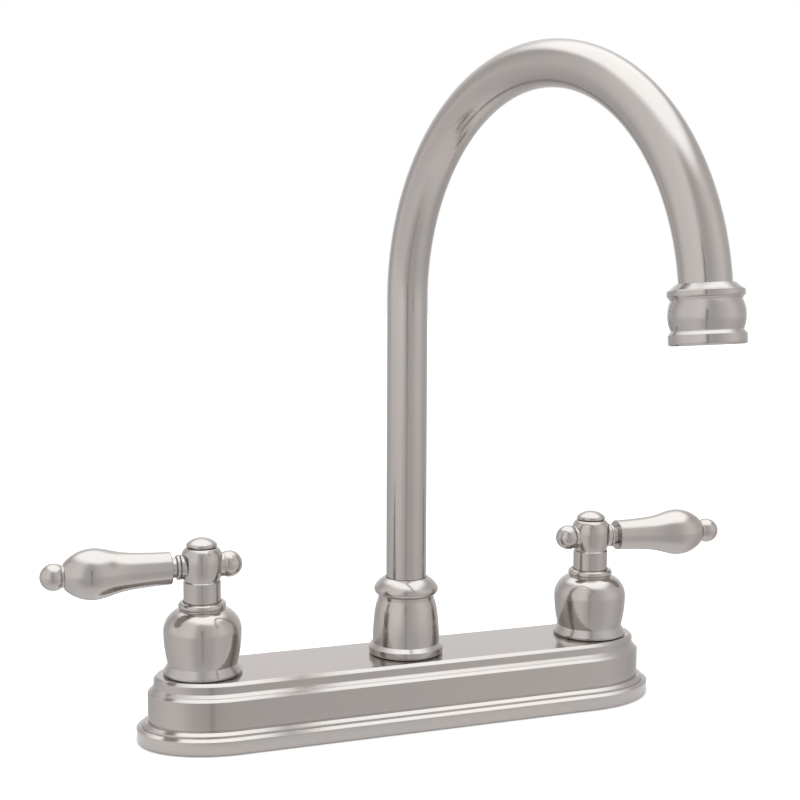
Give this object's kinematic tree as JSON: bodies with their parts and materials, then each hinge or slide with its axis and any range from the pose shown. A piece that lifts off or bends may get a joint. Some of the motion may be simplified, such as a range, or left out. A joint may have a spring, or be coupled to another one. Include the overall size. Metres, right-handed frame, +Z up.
{
  "type": "two handle kitchen faucet",
  "caption": "Kitchen faucet on a long stepped deck plate: a lever handle at each end opens a ceramic-disc valve, and a tall gooseneck spout with an aerator swivels between them.",
  "frame": {"origin": "middle of the deck plate's underside, on the spout's swivel axis, where the faucet rests on the sink deck", "axes": "+X along the deck plate toward the cold handle, -Y toward the sink and the user, +Z up"},
  "size_m": [0.3498, 0.2416, 0.3644],
  "materials": {
    "satin_nickel": "satin nickel plate over brass",
    "raw_brass": "cast and machined, unpolished",
    "steel": "zinc-plated steel",
    "gasket_rubber": "black foam rubber",
    "seal_rubber": "black moulded rubber",
    "disc_ceramic": "lapped white ceramic",
    "black_plastic": "moulded nylon",
    "white_plastic": "moulded acetal",
    "grey_plastic": "moulded acetal"
  },
  "bodies": {
    "base": {"deck_plate": "satin_nickel", "deck_gasket": "gasket_rubber", "hot_valve_body": "raw_brass", "cold_valve_body": "raw_brass", "spout_hub": "raw_brass", "hot_cross_tube": "raw_brass", "cold_cross_tube": "raw_brass", "mounting_washers": "steel", "mounting_nuts": "black_plastic", "body_lock_nuts": "raw_brass", "hot_cartridge_shell": "raw_brass", "hot_seat_seal": "seal_rubber", "hot_fixed_disc": "disc_ceramic", "hot_bell": "satin_nickel", "cold_cartridge_shell": "raw_brass", "cold_seat_seal": "seal_rubber", "cold_fixed_disc": "disc_ceramic", "cold_bell": "satin_nickel", "spout_base_cover": "satin_nickel", "spout_ring_nut": "satin_nickel", "spout_bearing_rings": "white_plastic"},
    "hot_handle": {"hot_moving_disc": "disc_ceramic", "hot_stem": "raw_brass", "hot_stem_o_rings": "seal_rubber", "hot_handle_hub": "satin_nickel", "hot_handle_screw": "steel", "hot_index_button": "satin_nickel", "hot_lever_collar": "satin_nickel", "hot_lever_grip": "satin_nickel", "hot_lever_rod": "steel", "hot_tip_finial": "satin_nickel", "hot_back_finial": "satin_nickel"},
    "cold_handle": {"cold_moving_disc": "disc_ceramic", "cold_stem": "raw_brass", "cold_stem_o_rings": "seal_rubber", "cold_handle_hub": "satin_nickel", "cold_handle_screw": "steel", "cold_index_button": "satin_nickel", "cold_lever_collar": "satin_nickel", "cold_lever_grip": "satin_nickel", "cold_lever_rod": "steel", "cold_tip_finial": "satin_nickel", "cold_back_finial": "satin_nickel"},
    "spout": {"spout_spigot": "raw_brass", "spout_o_rings": "seal_rubber", "spout_tube": "satin_nickel", "outlet_collar": "satin_nickel", "aerator_washer": "seal_rubber", "aerator_housing": "satin_nickel", "aerator_insert": "grey_plastic"}
  },
  "joints": [
    {"name": "hot_handle_turn", "type": "hinge", "parent": "base", "child": "hot_handle", "pos_m": [-0.1016, 0, 0], "axis": [0, 0, 1], "range_deg": [0, 90]},
    {"name": "cold_handle_turn", "type": "hinge", "parent": "base", "child": "cold_handle", "pos_m": [0.1016, 0, 0], "axis": [0, 0, 1], "range_deg": [-90, 0]},
    {"name": "spout_swivel", "type": "hinge", "parent": "base", "child": "spout", "pos_m": [0, 0, 0], "axis": [0, 0, 1], "continuous": true}
  ]
}
